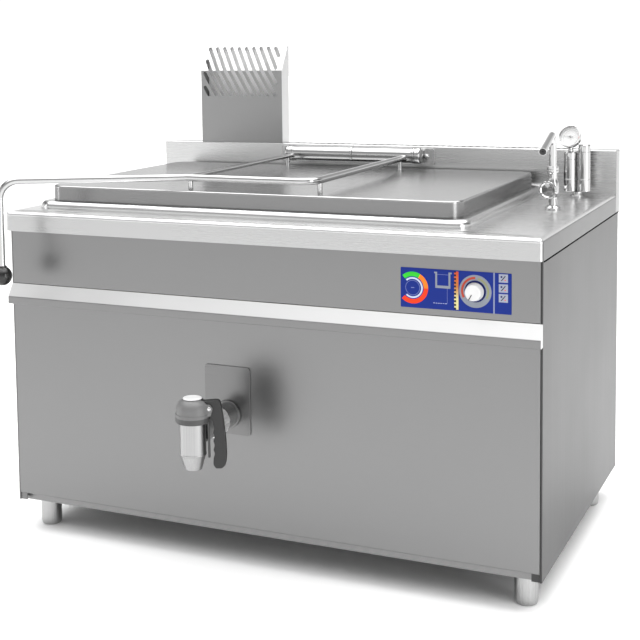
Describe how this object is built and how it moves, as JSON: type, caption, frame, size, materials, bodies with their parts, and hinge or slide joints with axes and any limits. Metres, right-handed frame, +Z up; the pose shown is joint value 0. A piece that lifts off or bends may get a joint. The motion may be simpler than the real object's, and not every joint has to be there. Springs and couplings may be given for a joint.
{
  "type": "steam jacketed kettle",
  "caption": "Free-standing gas boiling kettle with a rectangular steam-jacketed vessel, hinged lid on a tube frame, drain tap, filling tap, safety group and rear flue.",
  "frame": {"origin": "on the floor, under the middle of the overall bounding box", "axes": "+X to the right as seen from the front, +Y to the back, +Z up"},
  "size_m": [1.4, 1.1015, 1.265],
  "materials": {
    "brushed_steel": "satin brushed stainless steel",
    "vessel_steel": "fine-ground stainless steel",
    "tube_steel": "polished stainless steel tube",
    "chrome": "bright chrome plate",
    "wool": "mineral wool blanket",
    "burner_iron": "heat-darkened cast iron",
    "pipe_steel": "steel pipe",
    "copper_pipe": "copper pipe",
    "valve_brass": "machined brass",
    "black_plastic": "heat-proof black plastic",
    "gloss_black": "glossy black plastic",
    "pale_plastic": "pale moulded plastic",
    "blue_foil": "printed blue foil",
    "stem_steel": "turned stainless steel",
    "seal_rubber": "food-grade rubber",
    "clear_glass": "clear flat glass",
    "needle_black": "black enamel"
  },
  "bodies": {
    "cabinet": {"cabinet_frame": "brushed_steel", "left_panel": "brushed_steel", "right_panel": "brushed_steel", "rear_panel": "brushed_steel", "fascia": "brushed_steel", "lower_front_panel": "brushed_steel", "front_ledge": "brushed_steel", "worktop": "brushed_steel", "well_rim": "brushed_steel", "backsplash": "brushed_steel", "flue_chimney": "brushed_steel", "drain_plate": "brushed_steel", "inner_vessel": "vessel_steel", "steam_jacket": "vessel_steel", "combustion_chamber": "vessel_steel", "flue_duct": "vessel_steel", "hinge_plate": "tube_steel", "hinge_shaft": "tube_steel", "drain_pipe": "tube_steel", "drain_body": "tube_steel", "hinge_bolts": "chrome", "drain_union": "chrome", "lever_pin": "chrome", "tap_body": "chrome", "safety_base": "chrome", "safety_valve": "chrome", "vacuum_breaker": "chrome", "gauge_case": "chrome", "insulation": "wool", "burner_tubes": "burner_iron", "gas_manifold": "pipe_steel", "gas_pipe": "pipe_steel", "steam_pipe": "pipe_steel", "water_pipe": "copper_pipe", "gas_valve": "valve_brass", "drain_cap": "black_plastic", "cap_button": "pale_plastic", "control_overlay": "blue_foil", "torsion_bar": "stem_steel", "gauge_glass": "clear_glass"},
    "foot_fl": {"foot_front_left": "chrome"},
    "foot_fr": {"foot_front_right": "chrome"},
    "foot_rl": {"foot_rear_left": "chrome"},
    "foot_rr": {"foot_rear_right": "chrome"},
    "lid": {"lid_pan": "brushed_steel", "lid_liner": "brushed_steel", "lid_frame": "tube_steel", "lid_brace": "tube_steel", "lid_posts": "tube_steel", "ball_knob": "gloss_black", "hinge_tube": "tube_steel", "hinge_bushes": "valve_brass"},
    "drain_handle": {"drain_lever": "black_plastic"},
    "drain_valve": {"valve_stem": "stem_steel", "valve_seal": "seal_rubber", "valve_spring": "stem_steel"},
    "knob": {"control_knob": "pale_plastic"},
    "water_wheel": {"tap_wheel": "chrome"},
    "spout": {"tap_spout": "chrome"},
    "needle": {"gauge_needle": "needle_black"}
  },
  "joints": [
    {"name": "foot_fl_height", "type": "slide", "parent": "cabinet", "child": "foot_fl", "axis": [0, 0, -1], "range_m": [0, 0.035]},
    {"name": "foot_fr_height", "type": "slide", "parent": "cabinet", "child": "foot_fr", "axis": [0, 0, -1], "range_m": [0, 0.035]},
    {"name": "foot_rl_height", "type": "slide", "parent": "cabinet", "child": "foot_rl", "axis": [0, 0, -1], "range_m": [0, 0.035]},
    {"name": "foot_rr_height", "type": "slide", "parent": "cabinet", "child": "foot_rr", "axis": [0, 0, -1], "range_m": [0, 0.035]},
    {"name": "lid_hinge", "type": "hinge", "parent": "cabinet", "child": "lid", "pos_m": [-0.055, 0.47075, 0.945], "axis": [-1, 0, 0], "range_deg": [0, 88]},
    {"name": "drain_lever_pivot", "type": "hinge", "parent": "cabinet", "child": "drain_handle", "pos_m": [-0.03384, -0.49664, 0.443], "axis": [0.3746, -0.9272, 0], "range_deg": [0, 30]},
    {"name": "drain_valve_stroke", "type": "slide", "parent": "cabinet", "child": "drain_valve", "axis": [0, 0, -1], "range_m": [0, 0.01581], "stiffness_N_per_m": 400, "springref_m": -0.02, "deforming": ["valve_spring"]},
    {"name": "knob_turn", "type": "hinge", "parent": "cabinet", "child": "knob", "pos_m": [0.546, -0.34925, 0.722], "axis": [0, 1, 0], "range_deg": [0, 280]},
    {"name": "water_wheel_turn", "type": "hinge", "parent": "cabinet", "child": "water_wheel", "pos_m": [0.61, 0.13975, 0.902], "axis": [-0.1564, -0.9877, 0], "range_deg": [0, 540]},
    {"name": "spout_swivel", "type": "hinge", "parent": "cabinet", "child": "spout", "pos_m": [0.61, 0.13975, 0.958], "axis": [0, 0, 1], "range_deg": [-110, 45]},
    {"name": "needle_swing", "type": "hinge", "parent": "cabinet", "child": "needle", "pos_m": [0.5895, 0.42175, 1.013], "axis": [0.2095, 0.8403, -0.5], "range_deg": [0, 270], "stiffness_Nm_per_rad": 0.002, "springref_deg": -5.73}
  ],
  "couplings": [
    {"joint": "drain_valve_stroke", "follows": "drain_lever_pivot", "m_per_rad": 0.03}
  ]
}
